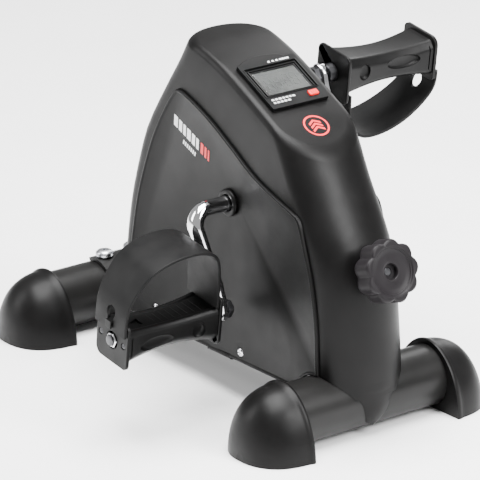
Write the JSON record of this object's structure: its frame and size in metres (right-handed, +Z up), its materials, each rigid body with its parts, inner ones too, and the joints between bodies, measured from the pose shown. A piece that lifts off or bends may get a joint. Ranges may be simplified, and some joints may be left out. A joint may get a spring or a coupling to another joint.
{
  "type": "pedal exerciser",
  "caption": "Free-standing floor pedal exerciser with strapped pedals on a bent crank, closed housing, front tension knob, sloping meter and capped foot tubes.",
  "frame": {"origin": "on the floor, midway between the left and right pedals and midway between the foot tubes, near the middle of the footprint", "axes": "+Z up; +X to the right as seen by the user, along the crank axle; -Y towards the user, the side with the knob and the meter"},
  "size_m": [0.34, 0.4195, 0.2873],
  "materials": {
    "shell_plastic": "satin black ABS",
    "textured_plastic": "fine-textured black polypropylene",
    "rubber": "matt black rubber",
    "strap_vinyl": "black flexible PVC",
    "knob_plastic": "dark grey ABS",
    "painted_steel": "black powder coat",
    "chrome": "bright chrome plate",
    "zinc": "bright zinc plate",
    "cast_iron": "machined",
    "bronze": "sintered bronze",
    "band_steel": "steel band with felt lining",
    "button_red": "red",
    "window_clear": "clear",
    "lcd_grey": "grey liquid crystal glass",
    "board_green": "solder resist",
    "cell_steel": "nickel plate"
  },
  "bodies": {
    "frame": {"front_foot_tube": "painted_steel", "rear_foot_tube": "painted_steel", "base_beam": "painted_steel", "front_saddle": "painted_steel", "rear_saddle": "painted_steel", "left_upright": "painted_steel", "right_upright": "painted_steel", "front_left_foot_cap": "rubber", "front_right_foot_cap": "rubber", "rear_left_foot_cap": "rubber", "rear_right_foot_cap": "rubber", "left_hub_ring": "rubber", "right_hub_ring": "rubber", "sensor_cable": "rubber", "front_left_foot_bolt": "zinc", "front_right_foot_bolt": "zinc", "rear_left_foot_bolt": "zinc", "rear_right_foot_bolt": "zinc", "band_anchor_bolt": "zinc", "left_cover_screw_1": "chrome", "left_cover_screw_2": "chrome", "right_cover_screw_1": "chrome", "right_cover_screw_2": "chrome", "left_bearing": "bronze", "right_bearing": "bronze", "brake_band": "band_steel", "housing_shroud": "shell_plastic", "left_side_cover": "shell_plastic", "right_side_cover": "shell_plastic", "knob_collar": "textured_plastic", "meter_case": "textured_plastic", "speed_sensor": "textured_plastic", "meter_window": "window_clear", "lcd_panel": "lcd_grey", "meter_board": "board_green", "button_cell": "cell_steel"},
    "crankset": {"crank": "chrome", "brake_wheel": "cast_iron", "wheel_magnet": "cell_steel", "left_pedal_spindle": "zinc", "right_pedal_spindle": "zinc", "left_arm_nut": "cast_iron", "right_arm_nut": "cast_iron"},
    "left_pedal": {"left_pedal_body": "textured_plastic", "left_pedal_inner_plate": "textured_plastic", "left_pedal_outer_plate": "textured_plastic", "left_spindle_nut": "chrome", "left_pedal_strap": "strap_vinyl"},
    "right_pedal": {"right_pedal_body": "textured_plastic", "right_pedal_inner_plate": "textured_plastic", "right_pedal_outer_plate": "textured_plastic", "right_spindle_nut": "chrome", "right_pedal_strap": "strap_vinyl"},
    "knob": {"tension_knob": "knob_plastic", "tension_screw": "zinc"},
    "slider": {"tension_slider": "zinc"},
    "button": {"mode_button": "button_red"}
  },
  "joints": [
    {"name": "crank_spin", "type": "hinge", "parent": "frame", "child": "crankset", "pos_m": [0, -0.0455, 0.166], "axis": [1, 0, 0], "continuous": true},
    {"name": "left_pedal_spin", "type": "hinge", "parent": "crankset", "child": "left_pedal", "pos_m": [-0.12, -0.05848, 0.08402], "axis": [1, 0, 0], "continuous": true},
    {"name": "right_pedal_spin", "type": "hinge", "parent": "crankset", "child": "right_pedal", "pos_m": [0.12, -0.03252, 0.24798], "axis": [1, 0, 0], "continuous": true},
    {"name": "knob_turn", "type": "hinge", "parent": "frame", "child": "knob", "pos_m": [0, -0.1757, 0.1346], "axis": [0, -0.952, 0.306], "range_deg": [0, 1080]},
    {"name": "tension_slide", "type": "slide", "parent": "frame", "child": "slider", "axis": [0, -0.952, 0.306], "range_m": [0, 0.0038]},
    {"name": "mode_button_press", "type": "slide", "parent": "frame", "child": "button", "axis": [0, 0.4462, -0.8949], "range_m": [0, 0.001], "stiffness_N_per_m": 400, "springref_m": -0.0005}
  ],
  "couplings": [
    {"joint": "tension_slide", "follows": "knob_turn", "m_per_rad": 0.00019894}
  ]
}
